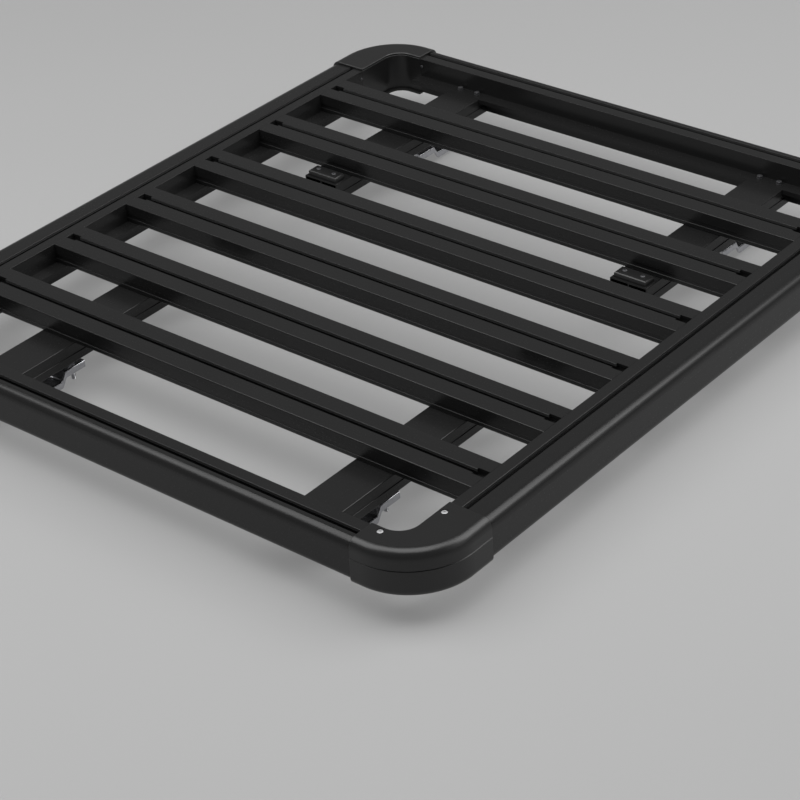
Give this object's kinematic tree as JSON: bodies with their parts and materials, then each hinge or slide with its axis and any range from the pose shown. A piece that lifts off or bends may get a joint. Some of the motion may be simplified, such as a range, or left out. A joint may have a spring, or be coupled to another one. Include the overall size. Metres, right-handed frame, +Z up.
{
  "type": "flat platform roof rack",
  "caption": "Low flat roof platform of black hollow rails with rounded corners, T-slot slats across, short bars beneath and plated stepped feet on studs.",
  "frame": {"origin": "middle of the level surface that the stud ends stand on, under the middle of the deck", "axes": "+X across the rack to its right, +Y along it towards the rear, +Z up"},
  "size_m": [1.255, 1.437, 0.1375],
  "materials": {
    "black_rail": "satin black powder coat",
    "black_slat": "satin black powder coat",
    "black_moulding": "satin moulded nylon",
    "black_block": "satin moulded nylon",
    "plated_sheet": "bright zinc plate",
    "plated_fastener": "bright zinc plate"
  },
  "bodies": {
    "root": {"left_rail": "black_rail", "right_rail": "black_rail", "front_rail": "black_rail", "rear_rail": "black_rail", "slat_1": "black_slat", "slat_2": "black_slat", "slat_3": "black_slat", "slat_4": "black_slat", "slat_5": "black_slat", "slat_6": "black_slat", "bar_front_left": "black_slat", "bar_front_right": "black_slat", "bar_rear_left": "black_slat", "bar_rear_right": "black_slat", "corner_cap_front_left": "black_moulding", "corner_cap_front_right": "black_moulding", "corner_cap_rear_left": "black_moulding", "corner_cap_rear_right": "black_moulding", "corner_shell_front_left": "black_moulding", "corner_shell_front_right": "black_moulding", "corner_shell_rear_left": "black_moulding", "corner_shell_rear_right": "black_moulding", "foot_front_left": "plated_sheet", "foot_front_right": "plated_sheet", "foot_rear_left": "plated_sheet", "foot_rear_right": "plated_sheet", "studs_front_left": "plated_fastener", "studs_front_right": "plated_fastener", "studs_rear_left": "plated_fastener", "studs_rear_right": "plated_fastener", "nuts_front_left": "plated_fastener", "nuts_front_right": "plated_fastener", "nuts_rear_left": "plated_fastener", "nuts_rear_right": "plated_fastener", "block_left": "black_block", "block_right": "black_block"}
  },
  "joints": []
}
